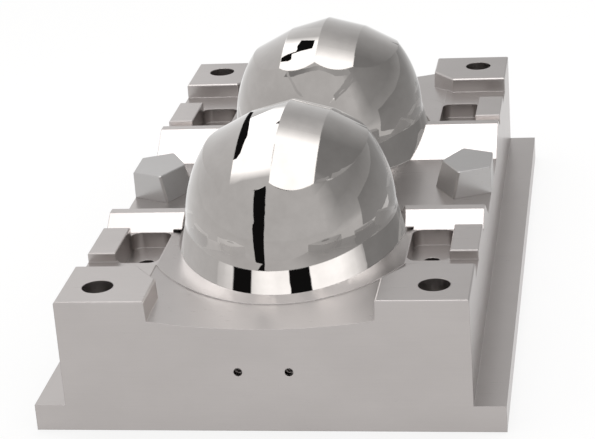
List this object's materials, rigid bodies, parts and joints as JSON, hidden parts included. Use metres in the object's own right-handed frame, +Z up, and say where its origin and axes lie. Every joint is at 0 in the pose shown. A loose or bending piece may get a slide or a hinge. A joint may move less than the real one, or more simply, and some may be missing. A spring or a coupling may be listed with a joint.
{
  "type": "helmet mould core half",
  "caption": "Steel mould half with domed, crested helmet cores, corner guide towers, tapered interlocks, pockets and side clamping flanges.",
  "frame": {"origin": "middle of the flat underside", "axes": "+X to the right seen from the front, +Y from the front face with the two ports seen in the picture to the rear face, +Z up out of the parting face"},
  "size_m": [0.52, 0.854, 0.284],
  "materials": {
    "block_steel": "fine ground",
    "core_steel": "mirror polished",
    "interlock_steel": "ground",
    "bush_steel": "turned",
    "black_screw_steel": "black oxide",
    "dowel_steel": "ground",
    "seal_rubber": "matt",
    "baffle_brass": "plain"
  },
  "bodies": {
    "root": {"mould_block": "block_steel", "front_core": "core_steel", "rear_core": "core_steel", "guide_bush_front_left": "bush_steel", "guide_bush_front_right": "bush_steel", "guide_bush_rear_left": "bush_steel", "guide_bush_rear_right": "bush_steel", "bush_retaining_rings": "black_screw_steel", "front_core_screws": "black_screw_steel", "front_core_dowels": "dowel_steel", "front_core_seal": "seal_rubber", "front_core_baffle": "baffle_brass", "rear_core_screws": "black_screw_steel", "rear_core_dowels": "dowel_steel", "rear_core_seal": "seal_rubber", "rear_core_baffle": "baffle_brass", "interlock_left": "interlock_steel", "interlock_left_screws": "black_screw_steel", "interlock_left_dowels": "dowel_steel", "interlock_right": "interlock_steel", "interlock_right_screws": "black_screw_steel", "interlock_right_dowels": "dowel_steel"}
  },
  "joints": []
}
